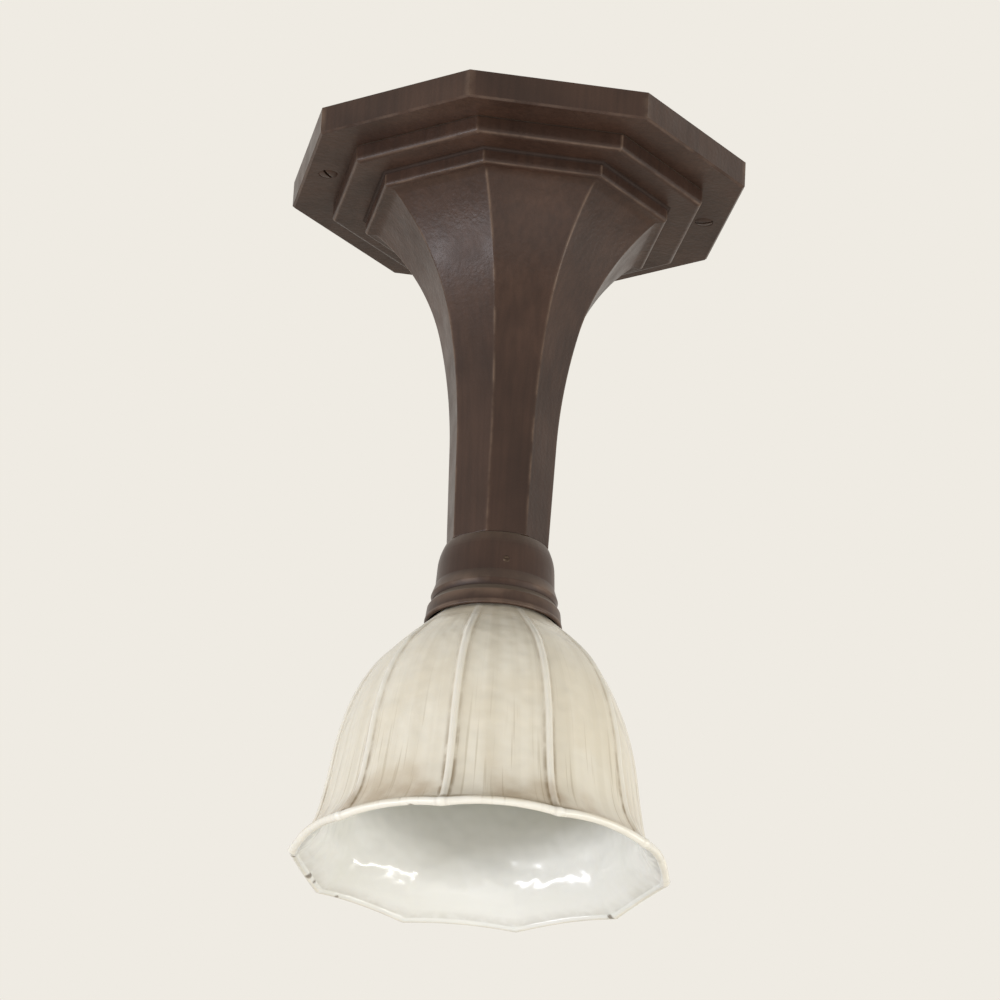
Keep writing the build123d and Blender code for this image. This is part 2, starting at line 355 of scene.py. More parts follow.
def rounded(corners, steps=6):
    """An outline's points, its corners given as x, y and a radius and eased into arcs."""
    points = []
    for i, (x, y, radius) in enumerate(corners):
        here = Vector((x, y))
        if not radius:
            points.append(here)
            continue
        back = (Vector(corners[i - 1][:2]) - here).normalized()
        on = (Vector(corners[i + 1][:2]) - here).normalized()
        half = back.angle(on) / 2
        middle = here + (back + on).normalized() * radius / math.sin(half)
        first = here + back * radius / math.tan(half) - middle
        last = here + on * radius / math.tan(half) - middle
        for k in range(steps + 1):
            spoke = first.lerp(last, k / steps).normalized()
            points.append(middle + spoke * radius)
    return points


def swung(start, along, end, steps):
    """The points after start on the arc that leaves it along a direction and reaches an end."""
    chord = end - start
    side = Vector((-along.y, along.x))
    middle = start + side * chord.length_squared / (2 * chord.dot(side))
    turn = 2 * math.atan2(along.x * chord.y - along.y * chord.x, along.dot(chord))
    points = [middle + Matrix.Rotation(turn * k / steps, 2) @ (start - middle) for k in range(1, steps + 1)]
    return points, Matrix.Rotation(turn, 2) @ along


def braced(points, gap, closed=False):
    """The same outline with a point close to each end of its straight runs, to keep them flat."""
    ends = points[1:] + points[:1] if closed else points[1:]
    result = []
    for here, there in zip(points, ends):
        result.append(here)
        run = there - here
        if run.length > 3 * gap:
            result.append(here + run.normalized() * gap)
            result.append(there - run.normalized() * gap)
    return result if closed else result + points[-1:]


def moved(point, along, inset):
    """A point moved square to the way that the outline runs there."""
    return point + Vector((-along.y, along.x)) * inset


def stem_profile(inset):
    """Half of the stem's section, from its lower end to the foot's top, moved in by a wall."""
    low = Vector((shaft_end[0], -shaft_end[1]))
    knee = Vector((shaft_top[0], -shaft_top[1]))
    middle = Vector((flare_mid[0], -flare_mid[1]))
    top = Vector((flare_half, -step_bottom))
    along = (knee - low).normalized()
    along_middle = swung(knee, along, middle, lower_flare_steps)[1]
    along_top = swung(middle, along_middle, top, upper_flare_steps)[1]
    low = moved(low, along, inset)
    knee = moved(knee, along, inset)
    middle = moved(middle, along_middle, inset)
    top = moved(top, along_top, inset)
    lower, along_middle = swung(knee, along, middle, lower_flare_steps)
    upper, _ = swung(middle, along_middle, top, upper_flare_steps)
    steps = rounded([
        (top.x, top.y, 0),
        (step_half - inset, -step_bottom + inset, step_round),
        (step_half - inset, -foot_bottom + inset, step_corner_round),
        (foot_half - inset, -foot_bottom + inset, foot_round),
        (foot_half - inset, -plate_depth, 0),
    ])
    shaft = [low.lerp(knee, k / shaft_steps) for k in range(shaft_steps)]
    return shaft + [knee] + lower + upper + braced(steps[1:], brace)


def octagon_plan(half, eased, round_hole=False):
    """One level of an eight-sided form with eased arrises, and how far each point is on an arris."""
    reach = (half - eased) / math.cos(half_facet)
    plan = []
    for corner in range(8):
        middle_turn = half_facet * (2 * corner + 1)
        middle = Vector((math.cos(middle_turn), math.sin(middle_turn))) * reach
        for k in range(arris_steps + 1):
            turn = middle_turn + half_facet * (2 * k / arris_steps - 1)
            last = middle + Vector((math.cos(turn), math.sin(turn))) * eased
            plan.append((last, 1.0 if 0 < k < arris_steps else 0.5))
        across = Vector((-math.sin(middle_turn + half_facet), math.cos(middle_turn + half_facet)))
        run = 2 * reach * math.sin(half_facet)
        pad = min(brace, run / 4)
        for share in (pad, run / 3, 2 * run / 3, run - pad):
            plan.append((last + across * share, 0.0))
    if round_hole:
        plan = [(point.normalized() * half, 0.0) for point, _ in plan]
    return plan


def hollow_casting(name, levels):
    """A closed skin over octagon plans, each with a height, its row's wear or painted light and shade, and
    its corners' share of it.
    """
    form = bmesh.new()
    wear_light_shade = []
    rows = []
    for plan, height, row_wear_light_shade, corner_share in levels:
        rows.append([form.verts.new((point.x * MM, point.y * MM, height * MM)) for point, _ in plan])
        for _, column_wear_light in plan:
            wear_light_shade.append(row_wear_light_shade if row_wear_light_shade < 0 else max(column_wear_light * corner_share, row_wear_light_shade))
    skin_between(form, rows, ring=True)
    form.verts.index_update()
    mesh = settle(form, name, merge=0.0)
    mesh.attributes.new("wear_highlight_dirt_shade", "FLOAT", "POINT").data.foreach_set("value", wear_light_shade)
    return mesh


# Rubbed wear with a painted highlight lies on the lower 55% of each step's outer round, and none on the
# corners of the flat undersides. Dirt and painted shade darken the corner between the steps and the one under
# the plate. Distances are in mm
rubbed_highlit_share = 0.55
on_the_level = 0.1
off_the_flat = 0.15
dark_corner_reach = 1.5
levels = []
outside = stem_profile(0)
outside.insert(1, outside[0] + (outside[1] - outside[0]).normalized() * brace)
for point in outside:
    rubbed_or_highlit = False
    flat = False
    for half, bottom, eased in (
            (foot_half, foot_bottom, foot_round), (step_half, step_bottom, step_round)):
        low_enough = -on_the_level < point.y + bottom < rubbed_highlit_share * eased
        rubbed_or_highlit = rubbed_or_highlit or (low_enough and point.x > half - rubbed_highlit_share * eased)
        flat = flat or abs(point.y + bottom) < off_the_flat
    between_steps = abs(point.x - step_half) < dark_corner_reach and abs(point.y + foot_bottom) < dark_corner_reach
    under_plate = point.y > -plate_depth - on_the_level
    row_wear_light_shade = -1.0 if between_steps or under_plate else float(rubbed_or_highlit)
    levels.append((octagon_plan(point.x, arris_round), point.y, row_wear_light_shade, 0.0 if flat else 1.0))
levels.append((octagon_plan(foot_half - top_brace, arris_round), -plate_depth, 0.0, 0.0))
inside = stem_profile(stem_wall)
inside[0] = Vector((inside[0].x, -shaft_end[1] + stem_wall))
for point in reversed(inside):
    levels.append((octagon_plan(point.x, arris_round), point.y, 0.0, 0.0))
for height in (-shaft_end[1] + stem_wall, -shaft_end[1]):
    levels.append((octagon_plan(wire_hole_r, arris_round, round_hole=True), height, 0.0, 0.0))
stem = in_scene("stem_casting", hollow_casting("stem_casting", levels))
stem.data.materials.append(painted_iron)
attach(stem, "root")
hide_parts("stem")


# Nipple
# A turned length of brass tube with a hexagon lock nut on the web inside the stem. It clamps the
# shade holder and the lampholder up against the stem's end.
def brass(name, shade, spot_shade, rough_low, rough_high):
    """Lacquered brass that has dulled in patches."""
    metal, tree = bare_finish(name)
    place = add(tree, "ShaderNodeTexCoord").outputs["Object"]
    # Tarnish grows in spots a few millimetres across
    spots = add(tree, "ShaderNodeTexNoise", {}, {"Vector": place, "Scale": 1 / (4 * MM), "Detail": 4.0})
    tarnish = add(tree, "ShaderNodeMapRange", {}, {"Value": spots, "From Min": 0.4, "From Max": 0.7})
    hue = add(tree, "ShaderNodeMix", {"data_type": "RGBA"}, {
        "Factor": tarnish, 6: colour(shade), 7: colour(spot_shade)})
    rough = add(tree, "ShaderNodeMapRange", {}, {
        "Value": spots, "From Min": 0.35, "From Max": 0.7, "To Min": rough_low, "To Max": rough_high})
    shader = add(tree, "ShaderNodeBsdfPrincipled", {}, {
        "Base Color": hue, "Roughness": rough, "Metallic": 1.0})
    add(tree, "ShaderNodeOutputMaterial", {}, {"Surface": shader})
    return metal


dull_brass = brass("dull_turned_brass", "#c8a765", "#7d6238", rough_low=0.28, rough_high=0.5)
refinish("nipple", dull_brass)


# Shade holder
# A cup spun from thin brass sheet: a drum with a bead, a groove, a band and a rolled lip. It was
# brushed with the same brown paint as the castings.
stem_end = 230.0
holder_wall = 1.6
lip_r = 37.4
lip_level = stem_end + 43.5
lip_roll_r = 1.2
lip_roll_steps = 12
lip_roll_from = 48.0
lip_roll_through = 276.0
cup_brace = 0.7
cup_columns = 192


def holder_profile(inset):
    """The cup's section from the web to the lip, moved in from the outer face by the inset."""
    return rounded([
        (wire_hole_r, -stem_end - inset, 0),
        (28.5 - inset, -stem_end - inset, 2.2 - inset / 2),
        (31.9 - inset, -stem_end - 8.0, 30.0 - inset),
        (32.7 - inset, -stem_end - 23.5, 2.0),
        (34.9 - inset, -stem_end - 30.0, 0.8),
        (33.9 - inset, -stem_end - 33.5, 0.8),
        (36.6 - inset, -stem_end - 37.0, 0.8),
        (lip_r - inset, -lip_level, 0),
    ], steps=5)


roll = []
for k in range(lip_roll_steps + 1):
    turn = math.radians(lip_roll_from - lip_roll_through * k / lip_roll_steps)
    middle = Vector((lip_r - holder_wall / 2, -lip_level - lip_roll_r))
    roll.append(middle + Vector((math.cos(turn), math.sin(turn))) * lip_roll_r)
cup = holder_profile(0) + roll + list(reversed(holder_profile(holder_wall)))
cup_outline = [(point.x, point.y) for point in braced(cup, cup_brace, closed=True)]
holder_mesh = settle(lathe(cup_outline, cup_columns), "holder_cup", merge=0.0)
# The bead, the band and the lip are rubbed and paler, also as a painted highlight, and the groove holds dirt
# and painted shade: least radius and the drop below the stem's end, from and to, all in mm, and the wear or
# shade
holder_wear_light_shade = (
    (34.3, 28.6, 31.4, 0.9), (36.2, 36.4, 38.2, 0.9), (37.2, 43.4, 46.0, 0.9), (33.0, 32.7, 34.4, -0.7),
)
rims = []
for vertex in holder_mesh.vertices:
    drop = -vertex.co.z / MM - stem_end
    radius = vertex.co.xy.length / MM
    rims.append(0.0)
    for least_r, upper, lower, wear_light_shade in holder_wear_light_shade:
        if radius > least_r and upper < drop < lower:
            rims[-1] = wear_light_shade
holder_mesh.attributes.new("wear_highlight_dirt_shade", "FLOAT", "POINT").data.foreach_set("value", rims)
holder = in_scene("holder_cup", holder_mesh)
# Sheet brass is smooth, so only the brush marks and the dust show in this coat
holder.data.materials.append(oil_paint("brushed_paint_on_spun_brass", grain=5.0, grain_height=0.12))
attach(holder, "root")
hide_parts("shade_holder")


# Glass screws
# Three short slotted brass screws through the holder's drum. The glass's lip rests on their ends,
# which also press its neck from three sides.
glass_screw_drop = 17.7
drum_r = 32.4
glass_screw_r = 2.0
glass_screw_length = 5.4
glass_screw_columns = 32

tree, given = tree_with("glass_screw_trio", {
    **slotted_head,
    "Screw Count": "NodeSocketInt",
    "Drum Radius": "NodeSocketFloat",
    "First Turn": "NodeSocketFloat",
    "Drop": "NodeSocketFloat",
})
trio = add(tree, "GeometryNodeMeshCircle", {"fill_type": "NONE"}, {
    "Vertices": given.outputs["Screw Count"], "Radius": given.outputs["Drum Radius"]})
lowered = add(tree, "ShaderNodeMath", {"operation": "MULTIPLY"}, {0: given.outputs["Drop"], 1: -1.0})
trio_placed = add(tree, "GeometryNodeTransform", {}, {
    "Geometry": trio,
    "Translation": add(tree, "ShaderNodeCombineXYZ", {}, {"Z": lowered}),
    "Rotation": add(tree, "FunctionNodeAxisAngleToRotation", {}, {"Angle": given.outputs["First Turn"]}),
})
outwards = add(tree, "ShaderNodeVectorMath", {"operation": "MULTIPLY"}, {
    0: add(tree, "GeometryNodeInputPosition"), 1: (1.0, 1.0, 0.0)})
aimed = add(tree, "FunctionNodeAlignRotationToVector", {"axis": "Z"}, {"Vector": outwards})
screw_brass = brass("tarnished_screw_brass", "#5e5044", "#483c34", rough_low=0.5, rough_high=0.65)
slotted_on(tree, given, trio_placed, aimed, screw_brass)
screw_outline = [
    (0.0, -glass_screw_length), (glass_screw_r - 0.5, -glass_screw_length),
    (glass_screw_r, -glass_screw_length + 0.5), (glass_screw_r, -0.1),
    (glass_screw_r - 0.12, 0.12), (1.1, 0.27), (0.0, 0.3),
]
screw = settle(lathe(screw_outline, glass_screw_columns, ring=False), "glass_screws")
glass_screws = grow("glass_screws", screw, tree, {
    "Head Radius": glass_screw_r * MM,
    "Slot Width": 0.6 * MM,
    "Slot Depth": 0.7 * MM,
    "Seed": 9,
    "Screw Count": 3,
    "Drum Radius": drum_r * MM,
    "First Turn": math.radians(30),
    "Drop": (stem_end + glass_screw_drop) * MM,
})
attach(glass_screws, "root")
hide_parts("shade_screws")


# Lampholder body
# Slip-cast porcelain, glazed white and fired, with the grey specks of a plain electrical grade.
# It screws up onto the nipple inside the holder.
porcelain, tree = bare_finish("glazed_white_porcelain")
place = add(tree, "ShaderNodeTexCoord").outputs["Object"]
# Iron specks in the clay are up to a millimetre wide and several millimetres apart
specks = add(tree, "ShaderNodeTexVoronoi", {}, {"Vector": place, "Scale": 1 / (7 * MM)})
speck = add(tree, "ShaderNodeMapRange", {}, {
    "Value": specks, "From Min": 0.05, "From Max": 0.1, "To Min": 1.0, "To Max": 0.0})
clay = add(tree, "ShaderNodeMix", {"data_type": "RGBA"}, {
    "Factor": speck, 6: colour("#e4e1d6"), 7: colour("#8b8273")})
# A fired glaze pools in soft waves about a centimetre across
pool = add(tree, "ShaderNodeTexNoise", {}, {"Vector": place, "Scale": 1 / (11 * MM)})
wave = add(tree, "ShaderNodeBump", {}, {"Height": pool, "Strength": 0.3, "Distance": 0.3 * MM})
shader = add(tree, "ShaderNodeBsdfPrincipled", {}, {
    "Base Color": clay, "Roughness": 0.12, "Normal": wave, "IOR": 1.52})
add(tree, "ShaderNodeOutputMaterial", {}, {"Surface": shader})
refinish("lampholder_body", porcelain)


# Screw shell and centre contact
# The shell is thin brass sheet with its thread rolled in, held in the porcelain's bore. The
# contact at its bottom is a stamped brass disc.
shell_outer_r = 13.85
shell_top = 250.6
shell_length = 26.0
thread_pitch = 3.63
thread_height = 0.45
sheet_thickness = 0.4
shell_steps = 96
shell_rows = 84

form = bmesh.new()
sheets = []
for wall in (0.0, sheet_thickness):
    rows = []
    for r in range(shell_rows + 1):
        level = shell_length * r / shell_rows
        # The thread runs out into plain rims at both ends of the shell
        fade = min(1.0, level / thread_pitch, (shell_length - level) / thread_pitch)
        row = []
        for c in range(shell_steps):
            turn = 2 * math.pi * c / shell_steps
            ripple = math.sin(2 * math.pi * level / thread_pitch + turn)
            radius = shell_outer_r - wall - thread_height * (1 - ripple * fade)
            row.append(form.verts.new((
                radius * math.cos(turn) * MM, radius * math.sin(turn) * MM, -(shell_top + level) * MM)))
        rows.append(row)
    sheets.append(rows)
skin_between(form, sheets[0] + list(reversed(sheets[1])), ring=True)
shell = in_scene("threaded_shell", settle(form, "threaded_shell", merge=0.0))
shell.data.materials.append(dull_brass)
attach(shell, "root")
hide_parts("screw_shell")
refinish("centre_contact", dull_brass)


# Glass shade
# Opal glass blown into a ribbed iron mould: ten soft ribs, flat panels between them, a flared and
# scalloped skirt and a fire-polished bead round the rim. Its neck hangs by a lip on the screws.
rib_count = 10
rib_turn = -4.0
rib_width = 4.6
rib_height = 1.5
rib_foot = 0.5
scallop_rise = 2.7
scallop_from = 126.0
scallop_run = 24.5
scallop_swell = 1.5
inner_ease = 2.5
neck_top = 242.0
bell_top = 266.0
neck_r = 26.8
fitter_lip_r = 28.6
lip_ease = 0.8
glass_wall = 3.6
thicker_from = 120.0
thicker_run = 28.0
bell_columns = 600
bell_steps = 62
first_drop = 0.5
bell_drop = 144.0
upper_crowding = 1.06
corner_drop = 145.0
corner_reach = 3.0
bead_r = 2.3
bead_middle_r = 101.1
bead_middle_drop = 148.2
bead_steps = 13
bead_from = -62.0
bead_through = 242.0
bead_last_outer_step = 9
rib_on_bead = 0.6
rib_fade_steps = 5
dirt_above_bead = 0.7
dirt_inside_bead = 0.3
# Drop below the bell's top, radius at the ribs, flatness of the panels, share of the rib's height
bell_rows = (
    (0.0, 26.8, 0.0, 0.0), (6.0, 31.0, 0.1, 0.1), (13.0, 38.0, 0.2, 0.4), (24.0, 50.0, 0.3, 0.9),
    (37.0, 61.8, 0.35, 1.0), (56.5, 72.6, 0.4, 1.0), (81.0, 80.0, 0.4, 1.0), (106.0, 84.2, 0.4, 1.0),
    (128.0, 89.0, 0.45, 1.0), (142.0, 96.2, 0.5, 1.0), (148.0, 102.1, 0.52, 0.9),
)


def bell_at(drop):
    """The bell's radius, flatness and rib share at any drop, by curves that pass through every row."""
    i = next(k for k, row in enumerate(bell_rows[1:]) if drop <= row[0])
    last = len(bell_rows) - 1
    knots = [bell_rows[k] for k in (max(i - 1, 0), i, i + 1, min(i + 2, last))]
    (x0, x1, x2, x3), *columns = zip(*knots)
    run = x2 - x1
    share = (drop - x1) / run
    found = []
    for y0, y1, y2, y3 in columns:
        slope_1 = (y2 - y0) / (x2 - x0)
        slope_2 = (y3 - y1) / (x3 - x1)
        found.append(
            y1 * (2 * share ** 3 - 3 * share ** 2 + 1) + y2 * (3 * share ** 2 - 2 * share ** 3)
            + slope_1 * run * (share ** 3 - 2 * share ** 2 + share)
            + slope_2 * run * (share ** 3 - share ** 2))
    return found


def scalloped(drop):
    """How much of the scallops' rise a row takes, growing towards the rim."""
    return max(0.0, (drop - scallop_from) / scallop_run) ** scallop_swell


glass_rows = []


def glass_row(radius, depth, flatness=0.0, rib=0.0, scallop=0.0, inner=0.0, corner=0.0):
    """Adds a row of the blown form: its place, its shares of the mould's forms, whether it faces
    inwards, and how near it is to the corner above the bead, where dirt stays."""
    glass_rows.append((radius, depth, flatness, rib, scallop, inner, corner))


for radius, depth in (
        (fitter_lip_r - lip_ease, neck_top), (fitter_lip_r, neck_top + lip_ease),
        (fitter_lip_r, neck_top + 2.7), (fitter_lip_r - lip_ease, neck_top + 3.5),
        (neck_r + 0.4, neck_top + 3.7), (neck_r, neck_top + 4.4),
        (neck_r, neck_top + 12.0), (neck_r, bell_top - 2.0)):
    glass_row(radius, depth)
outer_drops = [first_drop + bell_drop * (k / bell_steps) ** upper_crowding for k in range(bell_steps + 1)]
for drop in outer_drops:
    radius, flatness, rib = bell_at(drop)
    corner = max(0.0, 1.0 - abs(drop - corner_drop) / corner_reach)
    glass_row(radius, bell_top + drop, flatness, rib, scalloped(drop), corner=corner)
bead_start = len(glass_rows)
for k in range(bead_steps + 1):
    turn = math.radians(bead_from + bead_through * k / bead_steps)
    radius = bead_middle_r + bead_r * math.cos(turn)
    depth = bell_top + bead_middle_drop + bead_r * math.sin(turn)
    rib = max(0.0, rib_on_bead * (1 - k / rib_fade_steps))
    corner = {0: dirt_above_bead, bead_steps: dirt_inside_bead}.get(k, 0.0)
    glass_row(radius, depth, bell_rows[-1][2], rib, 1.0, float(k > bead_last_outer_step), corner)
for drop in reversed(outer_drops):
    radius, flatness, _ = bell_at(drop)
    wall = glass_wall + max(0.0, (drop - thicker_from) / thicker_run)
    glass_row(radius - wall, bell_top + drop, flatness, 0.0, scalloped(drop), inner=1.0)
glass_row(neck_r - glass_wall, bell_top - 3.0, inner=1.0)
glass_row(neck_r - glass_wall, neck_top + 1.0, inner=1.0)
glass_row(neck_r - glass_wall + lip_ease, neck_top, inner=1.0)

blown = settle(lathe([(row[0], -row[1]) for row in glass_rows], bell_columns), "bell_glass", merge=0.0)
moulded_shares = ("flatness", "rib_share", "scallop_share", "inner_face")
for column, name in enumerate((*moulded_shares, "bead_corner"), start=2):
    values = [row[column] for row in glass_rows for _ in range(bell_columns)]
    blown.attributes.new(name, "FLOAT", "POINT").data.foreach_set("value", values)

# The mould's form: panels drawn in from the round, a soft rib at every corner, a lifted edge between.
# The mould shaped only the outside, so the corners between the panels are softer inside
tree, given = tree_with("ribbed_mould", {
    "Rib Count": "NodeSocketInt",
    "First Rib": "NodeSocketFloat",
    "Rib Width": "NodeSocketFloat",
    "Rib Height": "NodeSocketFloat",
    "Rib Foot": "NodeSocketFloat",
    "Scallop Rise": "NodeSocketFloat",
    "Inner Ease": "NodeSocketFloat",
})
spot = add(tree, "GeometryNodeInputPosition")
axes = add(tree, "ShaderNodeSeparateXYZ", {}, {0: spot})
level_spot = add(tree, "ShaderNodeVectorMath", {"operation": "MULTIPLY"}, {0: spot, 1: (1.0, 1.0, 0.0)})
found = {socket.name: socket for socket in (*given.outputs, *axes.outputs)}
found["radius"] = add(tree, "ShaderNodeVectorMath", {"operation": "LENGTH"}, {0: level_spot})
for name in moulded_shares:
    found[name] = add(tree, "GeometryNodeInputNamedAttribute", {"data_type": "FLOAT"}, {"Name": name})
# Each row is one sum: the name of what it finds, what it does, and the names or numbers that it takes.
# 100.5 pitches are added, so that none is negative and each rib lies at half a pitch
for result, operation, *taken in (
        ("turn", "ARCTAN2", "Y", "X"),
        ("azimuth", "SUBTRACT", "turn", "First Rib"),
        ("pitch", "DIVIDE", 2 * math.pi, "Rib Count"),
        ("half pitch", "DIVIDE", "pitch", 2.0),
        ("pitches", "DIVIDE", "azimuth", "pitch"),
        ("positive pitches", "ADD", "pitches", 100.5),
        ("part of a pitch", "FRACT", "positive pitches"),
        ("signed share off rib", "SUBTRACT", "part of a pitch", 0.5),
        ("share off rib", "ABSOLUTE", "signed share off rib"),
        ("off rib", "MULTIPLY", "pitch", "share off rib"),
        ("off middle", "SUBTRACT", "half pitch", "off rib"),
        ("rib gap", "MULTIPLY", "radius", "off rib"),
        ("ease", "MULTIPLY", "inner_face", "Inner Ease"),
        ("off rib squared", "POWER", "off rib", 2.0),
        ("ease squared", "POWER", "ease", 2.0),
        ("eased squared", "ADD", "off rib squared", "ease squared"),
        ("eased off rib", "SQRT", "eased squared"),
        ("eased off middle", "SUBTRACT", "half pitch", "eased off rib"),
        ("cosine here", "COSINE", "eased off middle"),
        ("cosine at rib", "COSINE", "half pitch"),
        ("full panel", "SUBTRACT", "cosine here", "cosine at rib"),
        ("panel", "MULTIPLY", "flatness", "full panel"),
        ("drawn in", "MULTIPLY", "radius", "panel"),
        ("panel radius", "SUBTRACT", "radius", "drawn in"),
        ("half width", "DIVIDE", "Rib Width", 2.0),
        ("share of width", "DIVIDE", "rib gap", "half width"),
        ("width squared", "POWER", "share of width", 2.0),
        ("crown", "SUBTRACT", 1.0, "width squared"),
        ("sharp rib", "MULTIPLY", "Rib Height", "crown"),
        ("soft rib", "SMOOTH_MAX", "sharp rib", 0.0, "Rib Foot"),
        ("rib", "MULTIPLY", "rib_share", "soft rib"),
        ("new radius", "ADD", "panel radius", "rib"),
        ("growth", "DIVIDE", "new radius", "radius"),
        ("share off middle", "DIVIDE", "off middle", "half pitch"),
        ("off middle squared", "POWER", "share off middle", 2.0),
        ("arch", "SUBTRACT", 1.0, "off middle squared"),
        ("full lift", "MULTIPLY", "Scallop Rise", "scallop_share"),
        ("lift", "MULTIPLY", "full lift", "arch"),
        ("new X", "MULTIPLY", "X", "growth"),
        ("new Y", "MULTIPLY", "Y", "growth"),
        ("new Z", "ADD", "Z", "lift")):
    found[result] = add(tree, "ShaderNodeMath", {"operation": operation}, {
        i: found.get(value, value) for i, value in enumerate(taken)})
new_spot = add(tree, "ShaderNodeCombineXYZ", {}, {axis: found["new " + axis] for axis in "XYZ"})
moulded = add(tree, "GeometryNodeSetPosition", {}, {
    "Geometry": given.outputs["Geometry"], "Position": new_spot})
marked = add(tree, "GeometryNodeStoreNamedAttribute", {"data_type": "FLOAT", "domain": "POINT"}, {
    "Geometry": moulded, "Name": "rib_gap", "Value": found["rib gap"]})
opal, opal_tree = bare_finish("aged_opal_glass")
close_tree(tree, marked, opal)
bell = grow("bell_glass", blown, tree, {
    "Rib Count": rib_count,
    "First Rib": math.radians(rib_turn),
    "Rib Width": rib_width * MM,
    "Rib Height": rib_height * MM,
    "Rib Foot": rib_foot * MM,
    "Scallop Rise": scallop_rise * MM,
    "Inner Ease": math.radians(inner_ease),
})

# Knocks have left small shell-shaped chips in the bead: azimuth in degrees, row on the bead, size in mm
chips = (
    (151.0, 10, 2.9), (146.5, 11, 1.4), (132.0, 9, 1.5), (33.0, 10, 2.3), (-122.0, 9, 2.0), (172.0, 7, 2.2),
)
chip_slant = 0.9
chip_depth = 0.3
bruise_edge = 2.5
bead_points = bell.data.vertices[bead_start * bell_columns:(bead_start + bead_steps) * bell_columns]
bruise = [0.0] * len(bell.data.vertices)
for chip_azimuth, step, size in chips:
    column = round(chip_azimuth % 360 / 360 * bell_columns)
    heart = bell.data.vertices[(bead_start + step) * bell_columns + column].co.copy()
    inward = Vector((-heart.x, -heart.y, chip_slant * heart.xy.length)).normalized()
    for vertex in bead_points:
        away = (vertex.co - heart).length / MM
        if away < size:
            share = (size - away) / size
            vertex.co += inward * chip_depth * size * share * MM
            bruise[vertex.index] = max(bruise[vertex.index], min(1.0, share * bruise_edge))
bell.data.attributes.new("chipped", "FLOAT", "POINT").data.foreach_set("value", bruise)

# The outside has yellowed and holds soot beside the ribs and above the rim, the ribs were wiped whiter, and
# painted shade darkens the glass just under the holder
place = add(opal_tree, "ShaderNodeTexCoord").outputs["Object"]
height = add(opal_tree, "ShaderNodeSeparateXYZ", {}, {0: place}).outputs["Z"]
read = {"height": height}
for name in ("inner_face", "rib_gap", "chipped", "bead_corner"):
    read[name] = add(opal_tree, "ShaderNodeAttribute", {"attribute_name": name}).outputs["Fac"]
# Streaks in the blown glass run down the bell, some 9 mm apart, with hair lines between them. They
# are read from a drum of 80 mm radius whose height is squeezed, which draws them out
level_place = add(opal_tree, "ShaderNodeVectorMath", {"operation": "MULTIPLY"}, {
    0: place, 1: (1.0, 1.0, 0.0)})
spoke = add(opal_tree, "ShaderNodeVectorMath", {"operation": "NORMALIZE"}, {0: level_place})
squeezed = add(opal_tree, "ShaderNodeMath", {"operation": "MULTIPLY"}, {0: height, 1: 0.03})
drawn_out = add(opal_tree, "ShaderNodeVectorMath", {"operation": "MULTIPLY_ADD"}, {
    0: spoke, 1: (80 * MM, 80 * MM, 0.0), 2: add(opal_tree, "ShaderNodeCombineXYZ", {}, {"Z": squeezed})})
# Each noise, where it is read, its real size in mm and how fine its detail is
for name, where, size, detail in (
        ("streaks", drawn_out, 9.0, 2.0),
        ("hair lines", drawn_out, 1.7, 1.0),
        ("clouds", place, 40.0, 2.0),
        ("soot", place, 9.0, 5.0),
        ("waves", place, 13.0, 1.0)):
    read[name] = add(opal_tree, "ShaderNodeTexNoise", {}, {
        "Vector": where, "Scale": 1 / (size * MM), "Detail": detail})
# Each share, what it follows, the two values of that between which it changes, and the share at each.
# Heights and gaps are in metres
for name, followed, start, end, low, high in (
        ("milky streaks", "streaks", 0.36, 0.66, 0.0, 1.0),
        ("yellowed", "clouds", 0.42, 0.66, 0.0, 0.4),
        ("fine lines", "hair lines", 0.6, 0.72, 0.0, 0.4),
        ("fine lines low down", "height", -0.32, -0.395, 0.15, 1.0),
        ("on a rib", "rib_gap", 0.0014, 0.0023, 1.0, 0.0),
        ("off the rib", "rib_gap", 0.0018, 0.0023, 0.0, 1.0),
        ("close to the rib", "rib_gap", 0.0024, 0.005, 1.0, 0.0),
        ("near the rib", "rib_gap", 0.003, 0.024, 1.0, 0.55),
        ("low down", "height", -0.34, -0.408, 0.35, 1.0),
        ("rib soot", "soot", 0.3, 0.62, 0.2, 0.85),
        ("rim soot", "soot", 0.3, 0.6, 0.5, 1.0),
        ("painted shade under the holder", "height", -0.29, -0.272, 0.0, 0.4),
        ("smoke clouds", "clouds", 0.4, 0.6, 0.1, 1.0),
        ("smoke grain", "soot", 0.25, 0.65, 0.3, 0.6),
        ("towards the rim", "height", -0.372, -0.41, 0.0, 1.0),
        ("above the bead", "height", -0.4115, -0.409, 0.0, 1.0),
        ("on the bead", "height", -0.4105, -0.4125, 0.0, 1.0),
        ("painted shade high inside", "height", -0.375, -0.31, 0.0, 0.92),
        ("inner clouds", "clouds", 0.45, 0.75, 0.0, 0.25),
        ("inner soot", "soot", 0.35, 0.6, 0.3, 1.0)):
    read[name] = add(opal_tree, "ShaderNodeMapRange", {"interpolation_type": "SMOOTHSTEP"}, {
        "Value": read[followed], "From Min": start, "From Max": end, "To Min": low, "To Max": high})
